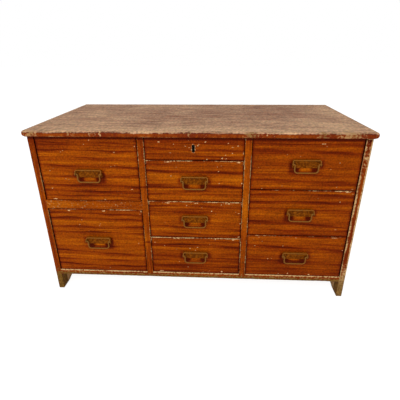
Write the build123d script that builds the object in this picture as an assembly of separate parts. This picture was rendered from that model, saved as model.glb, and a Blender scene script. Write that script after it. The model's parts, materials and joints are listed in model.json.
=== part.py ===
from build123d import *
import os

# Carcass, lengths in millimetres
body_width = 700.0
body_depth = 355.0
foot_height = 44.0
opening_height = 331.0
side_thickness = 13.0
partition_thickness = 14.0
bottom_thickness = 14.0
top_thickness = 12.5
back_thickness = 9.0
back_board_count = 3
back_board_gap = 0.8

# Top board and its end nosings
top_overhang = 9.0
top_upper_round = 5.0
top_lower_round = 3.5
nosing_width = 8.0
nosing_round_share = 0.9
nosing_setback = 1.5

# Joints of the carcass
bottom_housing = 6.0
partition_foot_housing = 6.0
partition_head_housing = 5.0
housing_stop = 14.0
back_rebate = 7.0
rail_depth = 42.0
rail_tenon = 6.0
rail_tenon_height_share = 0.55
rail_tenon_depth_share = 0.6

# Feet, cut from the lower edge of each side board
foot_length = 26.0
foot_arch_share = 0.54
foot_round = 3.0

# Blocks that hold the bottom board to the sides
glue_block_leg = 14.0
glue_block_length = 62.0
glue_block_setback = 84.0

# Columns and rows of drawers, from the top down; the last of each column takes what is left
left_opening = 216.0
centre_opening = 207.0
left_top_pitch = 144.5
rail_height = 20.5
lock_pitch = 49.0
centre_upper_pitch = 93.0
centre_middle_pitch = 91.0
right_top_pitch = 111.5
right_middle_pitch = 111.0

# Running clearances of the drawers
front_gap = 1.6
partition_gap = 1.3
end_gap = 2.6
head_clearance = 5.0

# Drawer boards
front_thickness = 16.0
drawer_side = 9.0
drawer_back = 9.0
drawer_back_drop = 6.0
panel_thickness = 4.0
panel_lift = 3.5
panel_groove = 4.5

# Dovetails
tail_pitch = 34.0
tail_base_share = 0.5
tail_slope = 1 / 7
tail_reach_share = 0.66

# Runners and stops
runner_width = 12.0
runner_height = 8.0
runner_lift = 0.4
runner_end_gap = 1.0
rail_runner_height = 14.0
stop_depth = 8.0
stop_width = 32.0
stop_height_share = 0.5

# Hooded handle plate
plate_width = 57.0
plate_height = 18.0
plate_sheet = 1.5
plate_corner = 3.2
lip_depth = 6.2
ear_height = 15.0
eye_radius = 3.2
handle_rise = 12.0
left_top_handle_drop = 10.5

# Bail that swings in the ears of the plate
bail_wire = 1.5
bail_reach = 18.5
bail_pin_bend = 2.9
bail_corner = 6.5
bail_pin_clearance = 0.08
bail_ear_clearance = 0.3
bail_pin_proud = 0.9
pivot_out = 7.6
pivot_drop = 8.5

# Lock of the shallow drawer
keyhole_width = 6.3
keyhole_height_share = 0.335
keyhole_drop_share = 0.485
keyhole_offset = -1.5
lock_keyhole_inset = 1.0
lock_width = 42.0
lock_depth = 10.5
lock_panel_gap = 0.4
lock_plate = 1.5
lock_plate_margin = 7.0
lock_chamber_share = 0.45
key_pin_radius = 1.4
bolt_width = 16.0
bolt_thickness = 5.0
bolt_height = 10.0
bolt_throw = 7.0
bolt_clearance = 0.3
bolt_mortise_clearance = 1.2

# Levels above the floor
bottom_under = foot_height
opening_floor = bottom_under + bottom_thickness
opening_head = opening_floor + opening_height
top_face = opening_head + top_thickness

# Distances across the front
half_width = body_width / 2
side_inner = half_width - side_thickness
left_column = (-side_inner, -side_inner + left_opening)
left_post = (left_column[1], left_column[1] + partition_thickness)
centre_column = (left_post[1], left_post[1] + centre_opening)
right_post = (centre_column[1], centre_column[1] + partition_thickness)
right_column = (right_post[1], side_inner)

# Distances from front to back, the middle of the whole object at zero
ear_depth = pivot_out + eye_radius
front_reach = max(ear_depth, top_overhang)
front = (front_reach - body_depth) / 2
back = front + body_depth
back_inner = back - back_thickness
drawer_rear = back_inner - stop_depth
front_rear = front + front_thickness


class Drawer:
    """Where one drawer sits: its column, its cell of the opening and the level that its sides rest on."""

    def __init__(self, name, column, cell, seat, handled=True, handle_drop=0.0):
        self.name = name
        self.column = column
        self.cell = cell
        self.seat = seat
        self.handled = handled
        left_gap = end_gap if column is left_column else partition_gap
        right_gap = end_gap if column is right_column else partition_gap
        self.x = (column[0] + left_gap, column[1] - right_gap)
        self.front_z = (cell[0] + front_gap / 2, cell[1] - front_gap / 2)
        self.side_z = (seat, cell[1] - head_clearance)
        self.panel_z = (seat + panel_lift, seat + panel_lift + panel_thickness)
        self.back_z = (self.panel_z[1], self.side_z[1] - drawer_back_drop)
        self.middle_x = sum(column) / 2
        self.lip_z = sum(cell) / 2 + handle_rise - handle_drop
        self.on_runners = seat > cell[0]


def column_of_drawers(column, names, pitches):
    """Drawers stacked from the top down, each on runners in its own cell, the lowest on the bottom board."""
    drawers = []
    upper = opening_head
    for name, pitch in zip(names, pitches):
        lower = upper - pitch
        seat = lower + runner_lift + runner_height
        drawers.append(Drawer(name, column, (lower, upper), seat, handled=name != "centre_lock"))
        upper = lower
    drawers.append(Drawer(names[-1], column, (opening_floor, upper), opening_floor))
    return drawers


rail_head = opening_head - left_top_pitch
rail_z = (rail_head - rail_height, rail_head)
left_drawers = [
    Drawer("left_top", left_column, (rail_z[1], opening_head), rail_z[1], handle_drop=left_top_handle_drop),
    Drawer("left_bottom", left_column, (opening_floor, rail_z[0]), opening_floor),
]
centre_drawers = column_of_drawers(
    centre_column,
    ["centre_lock", "centre_upper", "centre_middle", "centre_bottom"],
    [lock_pitch, centre_upper_pitch, centre_middle_pitch],
)
right_drawers = column_of_drawers(
    right_column,
    ["right_top", "right_middle", "right_bottom"],
    [right_top_pitch, right_middle_pitch],
)
all_drawers = left_drawers + centre_drawers + right_drawers
lock_drawer = centre_drawers[0]
keyhole_x = lock_drawer.middle_x + keyhole_offset
keyhole_z = opening_head - lock_pitch * keyhole_drop_share
keyhole_height = lock_pitch * keyhole_height_share
lock_z = (lock_drawer.panel_z[1] + lock_panel_gap, lock_drawer.front_z[1])
lock_top = lock_z[1]
lock_y = (front_rear - lock_depth, front_rear)
bolt_y = (front_rear - lock_plate - bolt_clearance - bolt_thickness, front_rear - lock_plate - bolt_clearance)


def block(x, y, z):
    """A rectangular piece between its low and high limit along each axis."""
    limits = (x, y, z)
    middle = [(low + high) / 2 for low, high in limits]
    size = [high - low for low, high in limits]
    return Pos(*middle) * Box(*size)


def around(middle, size):
    """The low and high limit of a size about its middle."""
    return (middle - size / 2, middle + size / 2)


def side_profile(points, x):
    """A flat outline of depth and height points, drawn out between two places across the object."""
    outline = make_face(Polyline(*points, close=True))
    return extrude(Plane.YZ.offset(x[0]) * outline, amount=x[1] - x[0])


# Carcass


def top_board():
    depth = back - front + top_overhang
    outline = Pos((back + front - top_overhang) / 2, (opening_head + top_face) / 2) * Rectangle(depth, top_thickness)
    nose = outline.vertices().group_by(Axis.X)[0].sort_by(Axis.Y)
    outline = fillet(nose[0], top_lower_round)
    nose = outline.vertices().group_by(Axis.Y)[-1].sort_by(Axis.X)
    outline = fillet(nose[0], top_upper_round)
    board = extrude(Plane.YZ.offset(-half_width) * outline, amount=body_width)
    for post in (left_post, right_post):
        board -= block(post, (front + housing_stop, back_inner), (opening_head, opening_head + partition_head_housing))
    mortise_x = around(keyhole_x, bolt_width + 2 * bolt_mortise_clearance)
    mortise_y = (bolt_y[0] - bolt_mortise_clearance, bolt_y[1] + bolt_mortise_clearance)
    return board - block(mortise_x, mortise_y, (opening_head, opening_head + bolt_throw + bolt_mortise_clearance))


def top_nosing(side):
    """A half-round strip over one end of the top board."""
    outline = Pos(half_width + nosing_width / 2, (opening_head + top_face) / 2) * Rectangle(nosing_width, top_thickness)
    outer = outline.vertices().group_by(Axis.X)[-1]
    radius = min(nosing_width, top_thickness / 2) * nosing_round_share
    outline = fillet(outer, radius)
    start = front - top_overhang + nosing_setback
    strip = extrude(Plane.XZ.offset(-start) * outline, amount=start - back)
    front_corner = strip.edges().filter_by(Axis.Z).group_by(Axis.Y)[0].sort_by(Axis.X)[-1]
    strip = fillet(front_corner, radius)
    return strip if side > 0 else mirror(strip, about=Plane.YZ)


def left_rail():
    """The rail between the left drawers, stub-tenoned into side and partition."""
    rail = block(left_column, (front, front + rail_depth), rail_z)
    tenon_x = (left_column[0] - rail_tenon, left_column[1] + rail_tenon)
    tenon_y = around(front + rail_depth / 2, rail_depth * rail_tenon_depth_share)
    return rail + block(tenon_x, tenon_y, around(sum(rail_z) / 2, rail_height * rail_tenon_height_share))


def bottom_board():
    reach = side_inner + bottom_housing
    board = block((-reach, reach), (front, back_inner), (bottom_under, opening_floor))
    for end in ((-reach, -side_inner), (side_inner, reach)):
        board -= block(end, (front, front + housing_stop), (bottom_under, opening_floor))
    for post in (left_post, right_post):
        board -= block(post, (front, back_inner), (opening_floor - partition_foot_housing, opening_floor))
    return board


def side_board(x):
    """A side that runs down to the floor, its lower edge cut away in a shallow arch between two feet."""
    board = block(x, (front, back), (0, opening_head))
    toes = board.edges().group_by(Axis.Z)[0]
    board = fillet(toes, foot_round)
    start = (front + foot_length, 0)
    crown = ((front + back) / 2, foot_height * foot_arch_share)
    end = (back - foot_length, 0)
    arch = make_face(ThreePointArc(start, crown, end) + Line(end, start))
    return board - extrude(Plane.YZ.offset(x[0]) * arch, amount=x[1] - x[0])


def partition(post):
    """An upright let into the bottom board along its whole depth and into the top board behind the front edge."""
    board = block(post, (front, back_inner), (opening_floor - partition_foot_housing, opening_head))
    return board + block(post, (front + housing_stop, back_inner), (opening_head, opening_head + partition_head_housing))


def back_boards():
    """Boards lying one above the other in the rebates of the sides."""
    reach = side_inner + back_rebate
    pitch = (opening_head - bottom_under + back_board_gap) / back_board_count
    boards = []
    for row in range(back_board_count):
        low = bottom_under + row * pitch
        boards.append(block((-reach, reach), (back_inner, back), (low, low + pitch - back_board_gap)))
    return boards


def runners(drawers):
    """A pair of strips for each drawer that rests neither on a rail nor on the bottom board."""
    strips = []
    for drawer in drawers:
        if drawer.on_runners:
            z = (drawer.seat - runner_height, drawer.seat)
            y = (front_rear + runner_end_gap, back_inner)
            strips += pair_of_strips(drawer.column, y, z)
    return strips


def pair_of_strips(column, y, z):
    left_strip = block((column[0], column[0] + runner_width), y, z)
    right_strip = block((column[1] - runner_width, column[1]), y, z)
    return [left_strip, right_strip]


def drawer_stops():
    """Blocks on the back boards that the drawers run against."""
    stops = []
    for drawer in all_drawers:
        height = (drawer.back_z[1] - drawer.back_z[0]) * stop_height_share
        z = around(sum(drawer.back_z) / 2, height)
        stops.append(block(around(drawer.middle_x, stop_width), (drawer_rear, back_inner), z))
    return stops


def glue_blocks():
    """Three-cornered blocks in the angle below the bottom board."""
    blocks = []
    for side in (-1, 1):
        corner = side * side_inner
        points = [
            (corner, bottom_under),
            (corner - side * glue_block_leg, bottom_under),
            (corner, bottom_under - glue_block_leg),
        ]
        outline = make_face(Polyline(*points, close=True))
        for start in (front + glue_block_setback, back_inner - glue_block_setback - glue_block_length):
            blocks.append(extrude(Plane.XZ.offset(-start) * outline, amount=-glue_block_length))
    return blocks


# Drawers


def tails(x, base, tip, z):
    """Dovetails that flare from the shoulder line to the tip, spread evenly over a height."""
    count = max(1, round((z[1] - z[0]) / tail_pitch))
    pitch = (z[1] - z[0]) / count
    half_base = pitch * tail_base_share / 2
    half_tip = half_base + min(abs(tip - base) * tail_slope, pitch / 2 - half_base)
    row = []
    for place in range(count):
        middle = z[0] + (place + tail_base_share) * pitch
        points = [
            (base, middle - half_base),
            (tip, middle - half_tip),
            (tip, middle + half_tip),
            (base, middle + half_base),
        ]
        row.append(side_profile(points, x))
    return row


def drawer_panel(drawer):
    x = (drawer.x[0] + drawer_side - panel_groove, drawer.x[1] - drawer_side + panel_groove)
    return block(x, (front_rear - panel_groove, drawer_rear), drawer.panel_z)


def drawer_side_board(drawer, x, panel):
    """One side with lapped dovetails into the front, through dovetails into the back and a groove for the panel."""
    back_face = drawer_rear - drawer_back
    board = block(x, (front_rear, back_face), drawer.side_z)
    front_joint = (max(drawer.side_z[0], drawer.front_z[0]), drawer.side_z[1])
    for tail in tails(x, front_rear, front_rear - front_thickness * tail_reach_share, front_joint):
        board += tail
    for tail in tails(x, back_face, drawer_rear, drawer.back_z):
        board += tail
    board += block(x, (back_face, drawer_rear), (drawer.side_z[0], drawer.back_z[0]))
    return board - panel


def drawer_boards(drawer):
    """The front, the box of two sides and a back, and the bottom panel of one drawer."""
    panel = drawer_panel(drawer)
    sides = [
        drawer_side_board(drawer, (drawer.x[0], drawer.x[0] + drawer_side), panel),
        drawer_side_board(drawer, (drawer.x[1] - drawer_side, drawer.x[1]), panel),
    ]
    face = block(drawer.x, (front, front_rear), drawer.front_z) - panel
    rear = block(drawer.x, (drawer_rear - drawer_back, drawer_rear), drawer.back_z)
    for side in sides:
        face -= side
        rear -= side
    return face, sides + [rear], panel


# Lock


def keyhole(y, inset=0.0):
    """An upright hole with round ends, in the lock a little smaller than in the wood."""
    slot = SlotOverall(keyhole_height - 2 * inset, keyhole_width - 2 * inset)
    outline = Pos(keyhole_x, keyhole_z) * Rot(0, 0, 90) * slot
    return extrude(Plane.XZ.offset(-y[0]) * outline, amount=y[0] - y[1])


def lock_body():
    """The case with its selvedge along the top edge of the drawer front and its plate on the back."""
    case = block(around(keyhole_x, lock_width), lock_y, lock_z)
    plate_x = around(keyhole_x, lock_width + 2 * lock_plate_margin)
    selvedge = block(plate_x, lock_y, (lock_top - lock_plate, lock_top))
    plate = block(plate_x, (front_rear - lock_plate, front_rear), lock_z)
    return case + selvedge + plate


def lock_case():
    slot_x = around(keyhole_x, bolt_width + 2 * bolt_clearance)
    slot_y = (bolt_y[0] - bolt_clearance, bolt_y[1] + bolt_clearance)
    slot = block(slot_x, slot_y, (lock_top - bolt_height, lock_top))
    chamber_y = (lock_y[0], front_rear - lock_plate)
    chamber_z = (lock_z[0] + lock_plate, lock_top - bolt_height)
    chamber = block(around(keyhole_x, lock_width * lock_chamber_share), (lock_y[0] + lock_plate, chamber_y[1]), chamber_z)
    pin_z = keyhole_z + (keyhole_height - keyhole_width) / 2
    pin = Plane.XZ.offset(-chamber_y[1]) * Pos(keyhole_x, pin_z) * Circle(key_pin_radius)
    case = lock_body() - slot - chamber - keyhole((lock_y[0], lock_y[0] + lock_plate), lock_keyhole_inset)
    return case + extrude(pin, amount=chamber_y[1] - chamber_y[0])


def lock_bolt():
    return block(around(keyhole_x, bolt_width), bolt_y, (lock_top - bolt_height, lock_top))


# Handles


def handle_plate(drawer):
    """A back plate with its top edge folded forward into a lip and its ends into ears with an eye for the bail."""
    middle = drawer.middle_x
    sheet_back = front - plate_sheet
    plate = Pos(middle, drawer.lip_z - plate_height / 2) * RectangleRounded(plate_width, plate_height, plate_corner)
    plate = extrude(Plane.XZ.offset(-front) * plate, amount=plate_sheet)
    rim = Pos(middle, drawer.lip_z - ear_height / 2) * Rectangle(plate_width, ear_height)
    rim = fillet(rim.vertices().group_by(Axis.Y)[-1], plate_corner)
    hollow = Pos(middle, drawer.lip_z - plate_sheet - ear_height / 2)
    hollow *= Rectangle(plate_width - 2 * plate_sheet, ear_height)
    hollow = fillet(hollow.vertices().group_by(Axis.Y)[-1], plate_corner - plate_sheet)
    hood = extrude(Plane.XZ.offset(-sheet_back) * (rim - hollow), amount=ear_depth - plate_sheet)
    ear_x = around(middle, plate_width)
    eye_z = drawer.lip_z - pivot_drop
    points = [
        (front, drawer.lip_z),
        (front - lip_depth, drawer.lip_z),
        (front - pivot_out - eye_radius, eye_z),
        (front - pivot_out, eye_z - eye_radius),
        (front, drawer.lip_z - ear_height),
    ]
    eye = Pos(front - pivot_out, eye_z) * Circle(eye_radius)
    shape = side_profile(points, ear_x) + extrude(Plane.YZ.offset(ear_x[0]) * eye, amount=plate_width)
    bore = Pos(front - pivot_out, eye_z) * Circle(bail_wire + bail_pin_clearance)
    return plate + (hood & shape) - extrude(Plane.YZ.offset(ear_x[0]) * bore, amount=plate_width)


def handle_bail(drawer):
    """A wire bent to a loop, its ends turned outward through the ears."""
    half = plate_width / 2
    pin_end = half + bail_pin_proud
    arm = half - plate_sheet - bail_ear_clearance - bail_pin_bend
    turns = [(-pin_end, 0), (-arm, 0), (-arm, -bail_reach), (arm, -bail_reach), (arm, 0), (pin_end, 0)]
    path = FilletPolyline(*turns, radius=[bail_pin_bend, bail_corner, bail_corner, bail_pin_bend])
    pivot = Plane.XZ.offset(pivot_out - front) * Pos(drawer.middle_x, drawer.lip_z - pivot_drop)
    path = pivot * path
    return sweep(Plane(path @ 0, z_dir=path % 0) * Circle(bail_wire), path=path)


def write(name, shape):
    if isinstance(shape, list):
        shape = Compound(shape)
    export_step(shape, f"parts/{name}.step")


def main():
    os.makedirs("parts", exist_ok=True)
    rail = left_rail()
    bottom = bottom_board()
    backs = back_boards()
    sides = {"left": side_board((-half_width, -side_inner)), "right": side_board((side_inner, half_width))}
    for name, side in sides.items():
        for piece in [bottom, rail] + backs:
            side -= piece
        write(f"side_{name}", side)
    write("top_board", top_board())
    write("top_nosing_left", top_nosing(-1))
    write("top_nosing_right", top_nosing(1))
    write("bottom_board", bottom)
    write("partition_left", partition(left_post) - rail)
    write("partition_right", partition(right_post))
    write("left_rail", rail)
    write("back_boards", backs)
    rail_runner_z = (rail_z[1] - rail_runner_height, rail_z[1])
    write("left_runners", pair_of_strips(left_column, (front + rail_depth, back_inner), rail_runner_z))
    write("centre_runners", runners(centre_drawers))
    write("right_runners", runners(right_drawers))
    write("drawer_stops", drawer_stops())
    write("glue_blocks", glue_blocks())
    for drawer in all_drawers:
        face, box, panel = drawer_boards(drawer)
        if drawer is lock_drawer:
            face = face - lock_body() - keyhole((front, lock_y[0]))
        write(f"{drawer.name}_drawer_front", face)
        write(f"{drawer.name}_drawer_box", box)
        write(f"{drawer.name}_drawer_bottom", panel)
        if drawer.handled:
            write(f"{drawer.name}_handle_plate", handle_plate(drawer))
            write(f"{drawer.name}_handle_bail", handle_bail(drawer))
    write("lock_case", lock_case())
    write("lock_bolt", lock_bolt())


if __name__ == "__main__":
    main()
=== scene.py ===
import json
import math

import bmesh
import bpy
import numpy as np
from bpy.props import FloatProperty, FloatVectorProperty, PointerProperty
from mathutils import Matrix, Vector, noise

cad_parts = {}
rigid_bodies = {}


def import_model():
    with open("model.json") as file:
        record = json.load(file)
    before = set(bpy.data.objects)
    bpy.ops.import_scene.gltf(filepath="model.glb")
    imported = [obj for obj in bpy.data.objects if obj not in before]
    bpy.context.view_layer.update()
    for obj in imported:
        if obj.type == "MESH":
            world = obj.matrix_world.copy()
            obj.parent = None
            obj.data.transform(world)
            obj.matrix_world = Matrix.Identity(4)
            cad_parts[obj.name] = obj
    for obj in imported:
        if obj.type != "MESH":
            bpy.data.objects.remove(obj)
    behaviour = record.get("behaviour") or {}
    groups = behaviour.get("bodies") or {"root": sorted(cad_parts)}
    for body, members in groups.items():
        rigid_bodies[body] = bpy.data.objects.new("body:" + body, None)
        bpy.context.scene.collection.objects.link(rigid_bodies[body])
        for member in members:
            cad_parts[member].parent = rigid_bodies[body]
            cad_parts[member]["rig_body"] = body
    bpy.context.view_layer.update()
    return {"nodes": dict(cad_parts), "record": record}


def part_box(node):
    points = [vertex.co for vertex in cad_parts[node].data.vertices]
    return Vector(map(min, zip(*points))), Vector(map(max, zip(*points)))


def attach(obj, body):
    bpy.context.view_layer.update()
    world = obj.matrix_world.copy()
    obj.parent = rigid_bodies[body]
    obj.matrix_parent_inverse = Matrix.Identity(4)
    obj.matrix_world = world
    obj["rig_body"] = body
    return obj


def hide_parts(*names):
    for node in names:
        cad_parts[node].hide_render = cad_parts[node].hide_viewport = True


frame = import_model()

bl_info = {
    "name": "Worn drawer cabinet",
    "version": (1, 0, 0),
    "blender": (4, 5, 0),
    "location": "View3D > Sidebar > Cabinet",
    "description": "Dresses a table-top drawer cabinet in worn varnish, bare pine and tarnished brass",
    "category": "Object",
}

MM = 0.001
MICRON = 1e-6
DRAWERS = (
    "left_top", "left_bottom", "centre_lock", "centre_upper", "centre_middle",
    "centre_bottom", "right_top", "right_middle", "right_bottom",
)
HANDLED = tuple(name for name in DRAWERS if name != "centre_lock")
# Where the faces of the drawer fronts lie from front to back, in mm
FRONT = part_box("left_top_drawer_front")[0].y / MM
# How far behind the fronts a gap's painted shade starts, is full, and the stain ends, in mm
GAP_START = 0.9
GAP_DEPTH = 1.7
STAIN_DEPTH = 24
# How much painted shade darkens a gap beyond a face, and how far its arrises are kept from rubbing, in mm
GAP_PAINTED_SHADE = 2.2
GAP_GUARD = 20
# Mesh work: what counts as one plane, as a long arris and as near an arris, and the sizes of dents
SAME_PLANE = 20 * MICRON
LONG_ARRIS = 18 * MM
NEAR_ARRIS = 2.2 * MM
WIDE_DENT = 16 * MM
SMALL_DENT = 5 * MM
# Stage: half the floor's width, the lamp's size, place and aim, and the floor's shade and glow to the camera
FLOOR_HALF = 12
LAMP_SIZE = (2.4, 1.6)
LAMP_PLACE = (-0.5, -2.2, 1.7)
LAMP_AIM = Vector((0, -0.17, 0.22))
FLOOR_GREY = (0.3, 0.3, 0.3, 1.0)
FLOOR_GLOW = 0.9
WHITE = (1, 1, 1, 1)
SENSOR = 36
# The photo's viewpoint: a little to the right of the middle, looking down on the top
CAMERA_PLACE = Matrix((
    (0.99850, -0.01705, 0.05206, 0.0460),
    (0.05447, 0.40849, -0.91113, -0.8368),
    (-0.00573, 0.91260, 0.40881, 0.5491),
    (0, 0, 0, 1),
))


def linear(code):
    """An sRGB hex colour as linear red, green and blue."""
    levels = [int(code[i:i + 2], 16) / 255 for i in (0, 2, 4)]
    return tuple(v / 12.92 if v <= 0.04045 else ((v + 0.055) / 1.055) ** 2.4 for v in levels)


def colour(name, description, code):
    """A colour property that starts from an sRGB hex colour."""
    return FloatVectorProperty(
        name=name, description=description, subtype="COLOR", size=3, min=0, max=1, default=linear(code))


def amount(name, description, default, least, most, **kind):
    """A number property with its limits."""
    return FloatProperty(name=name, description=description, default=default, min=least, max=most, **kind)


# Finishes and sizes that a user would change


class VarnishLook(bpy.types.PropertyGroup):
    """Old reddish varnish over a streaky wood."""

    glow: colour("Light figure", "Varnish over the palest wood between the streaks", "AC5902")
    body: colour("Body", "Varnish over most of the wood", "8F3F00")
    streak: colour("Streak", "Varnish over a dark streak", "6C2200")
    deep: colour("Deep streak", "Varnish over the darkest heart of a streak", "4E1100")
    worn: colour("Worn wood", "Bare wood where the varnish is rubbed or chipped off", "D8AE78")
    grimy: colour("Grimy wood", "Bare wood that has taken dirt", "7C5924")
    soil: colour("Soiled wood", "Bare wood black with dirt", "503614")
    streak_pitch: amount("Streak pitch", "Width of the fine streaks across the grain, in mm", 4.0, 1, 30)
    rub: amount("Rubbed edge", "Widest strip of varnish that is rubbed off an arris, in mm", 1.5, 0, 10)
    gloss: amount("Roughness", "Roughness of the sound varnish", 0.42, 0, 1, subtype="FACTOR")


class TopLook(bpy.types.PropertyGroup):
    """The faded, scratched top."""

    faded: colour("Faded wood", "Most of the top, its varnish worn to a dull haze", "A17A5D")
    brown: colour("Brown streaks", "Streaks where more of the stain is left", "82563D")
    pale: colour("Pale streaks", "Streaks rubbed through to the wood", "BE9773")
    streak_pitch: amount("Streak pitch", "Width of the streaks across the grain, in mm", 13, 1, 40)
    gloss: amount("Roughness", "Roughness of the worn top", 0.62, 0, 1, subtype="FACTOR")


class PineLook(bpy.types.PropertyGroup):
    """The unfinished softwood inside."""

    early: colour("Early wood", "Soft pale part of a growth ring", "BE9460")
    late: colour("Late wood", "Hard dark line of a growth ring", "98693A")
    dust: colour("Dust", "Dirt on the edges and in the corners", "5C4327")
    ring_pitch: amount("Ring pitch", "Distance between growth rings, in mm", 4.5, 1, 20)


class BrassLook(bpy.types.PropertyGroup):
    """Tarnished sheet and wire of the handles."""

    rubbed: colour("Rubbed brass", "Metal that fingers keep bright", "7B5323")
    tarnish: colour("Tarnish", "Brown tarnish over most of the metal", "8B4A06")
    dirt: colour("Dirt", "Dark dirt in the hollows", "5C2A02")


class StageLook(bpy.types.PropertyGroup):
    """Floor, light and camera."""

    floor: colour("Floor", "Colour of the floor", "FFFFFF")
    lens: amount("Lens", "Focal length on a 36 mm sensor, in mm", 30.17, 10, 200)
    lamp: amount("Lamp", "Power of the large soft lamp", 38, 0, 500, subtype="POWER", unit="POWER")
    sky: amount("Ambient", "Level of the even light from all round", 0.6, 0, 2)


# Shader nodes


def add(tree, kind, inputs=None, **settings):
    """Adds one shader node, sets it up, fills its sockets with values or links, and gives its outputs."""
    node = tree.nodes.new("ShaderNode" + kind)
    for name, value in settings.items():
        if name == "stops":
            while len(node.color_ramp.elements) < len(value):
                node.color_ramp.elements.new(1.0)
            for element, (place, shade) in zip(node.color_ramp.elements, value):
                element.position = place
                element.color = (*shade, 1.0)
        else:
            setattr(node, name, value)
    for socket, value in (inputs or {}).items():
        if isinstance(value, bpy.types.NodeSocket):
            tree.links.new(value, node.inputs[socket])
        else:
            node.inputs[socket].default_value = value
    return node.outputs


def blank(name):
    """An empty material and its node tree."""
    material = bpy.data.materials.new(name)
    material.use_nodes = True
    material.node_tree.nodes.clear()
    return material, material.node_tree


def surfaced(material, sockets):
    """Ends a material in one shader with these sockets."""
    tree = material.node_tree
    shader = add(tree, "BsdfPrincipled", sockets)[0]
    add(tree, "OutputMaterial", {"Surface": shader})
    return material


def in_view(tree):
    """1 for what the camera sees directly or in metal or glass, and 0 for light that falls on things."""
    ray = add(tree, "LightPath")
    seen = add(tree, "Math", {0: ray["Is Camera Ray"], 1: ray["Is Glossy Ray"]}, operation="MAXIMUM")[0]
    return add(tree, "Math", {0: seen, 1: ray["Is Transmission Ray"]}, operation="MAXIMUM")[0]


def along_grain(tree, grain, sizes, detail=2.0, roughness=0.5):
    """Uneven pattern drawn out along the grain, with its sizes in mm along, across and through the board."""
    drawn = add(tree, "VectorMath", {0: grain, 1: [1 / size for size in sizes]}, operation="MULTIPLY")[0]
    return add(tree, "TexNoise", {"Vector": drawn, "Scale": 1.0, "Detail": detail, "Roughness": roughness})


def summed(tree, base, *parts):
    """Patterns added to a base, each by its own share."""
    for pattern, share in parts:
        base = add(tree, "Math", {0: pattern, 1: share, 2: base}, operation="MULTIPLY_ADD")[0]
    return base


def arris_distance(tree):
    """Millimetres to the nearest arris of a board, from each point's place in it and its half size."""
    place = add(tree, "Attribute", attribute_name="place")["Vector"]
    half = add(tree, "Attribute", attribute_name="half")["Vector"]
    away = add(tree, "VectorMath", {0: place}, operation="ABSOLUTE")[0]
    inset = add(tree, "VectorMath", {0: half, 1: away}, operation="SUBTRACT")[0]
    axis = add(tree, "SeparateXYZ", {0: inset})
    low = add(tree, "Math", {0: axis[0], 1: axis[1]}, operation="MINIMUM")[0]
    high = add(tree, "Math", {0: axis[0], 1: axis[1]}, operation="MAXIMUM")[0]
    middle = add(tree, "Math", {0: high, 1: axis[2]}, operation="MINIMUM")[0]
    return add(tree, "Math", {0: low, 1: middle}, operation="MAXIMUM")[0]


def bent_grain(tree, wander):
    """Grain coordinates in millimetres, straight ones and ones that wander to and fro by about this much."""
    grain = add(tree, "Attribute", attribute_name="grain")["Vector"]
    drift = along_grain(tree, grain, (190, 60, 60))["Color"]
    centred = add(tree, "VectorMath", {0: drift, 1: (0.5, 0.5, 0.5)}, operation="SUBTRACT")[0]
    shift = add(tree, "VectorMath", {0: centred, 1: (0, 2 * wander, 2 * wander)}, operation="MULTIPLY")[0]
    bent = add(tree, "VectorMath", {0: grain, 1: shift}, operation="ADD")[0]
    return grain, bent


def rubbed_arris(tree, patch, grit, away, strip, least_grit, border, most):
    """How bare a board is near its arrises: a strip, wide or narrow in patches, with a gritty border."""
    patch_start, narrow, wide = strip
    width = add(tree, "MapRange", {0: patch, 1: patch_start, 2: 0.66, 3: narrow, 4: wide})[0]
    share = add(tree, "MapRange", {0: grit, 1: 0.3, 2: 0.7, 3: least_grit, 4: 1.5})[0]
    reach = add(tree, "Math", {0: width, 1: share}, operation="MULTIPLY")[0]
    bite = add(tree, "Math", {0: reach, 1: away}, operation="SUBTRACT")[0]
    return add(tree, "MapRange", {0: bite, 1: border[0], 2: border[1], 4: most})[0]


def flecks(tree, grain, cells, rarity, largest):
    """Flecks chipped out of the film, a millimetre or two long, in a few of the cells that fill a board."""
    scatter = add(tree, "VectorMath", {0: grain, 1: [1 / size for size in cells]}, operation="MULTIPLY")[0]
    cell = add(tree, "TexVoronoi", {"Vector": scatter, "Scale": 1.0})
    lot = add(tree, "SeparateColor", {0: cell["Color"]})[0]
    size = add(tree, "MapRange", {0: lot, 1: rarity, 3: -0.04, 4: largest})[0]
    edge = add(tree, "Math", {0: size, 1: cell["Distance"]}, operation="SUBTRACT")[0]
    return add(tree, "MapRange", {0: edge, 2: 0.06, 4: 0.7})[0]


def bare_marks(tree, grit, border, most):
    """Chips and bare patches laid on a board, with ragged borders."""
    bare = add(tree, "Attribute", attribute_name="bare")["Fac"]
    ragged = add(tree, "MapRange", {0: grit, 1: 0.2, 2: 0.8, 3: -0.6, 4: 0.6})[0]
    spread = add(tree, "Math", {0: bare, 1: ragged}, operation="ADD")[0]
    return add(tree, "MapRange", {0: spread, 1: border[0], 2: border[1], 4: most})[0]


def bare_colour(tree, grit, varnish, dry_stops):
    """Wood under the varnish, dry and pale, or grimy to black where it has taken dirt."""
    grime = add(tree, "Attribute", attribute_name="grime")["Fac"]
    dry = add(tree, "ValToRGB", {0: grit}, stops=tuple(zip(dry_stops, (varnish.grimy, varnish.worn))))[0]
    soil = add(tree, "ValToRGB", {0: grit}, stops=((0.38, varnish.soil), (0.6, varnish.grimy)))[0]
    return add(tree, "Mix", {0: grime, 6: dry, 7: soil}, data_type="RGBA")[2]


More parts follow.
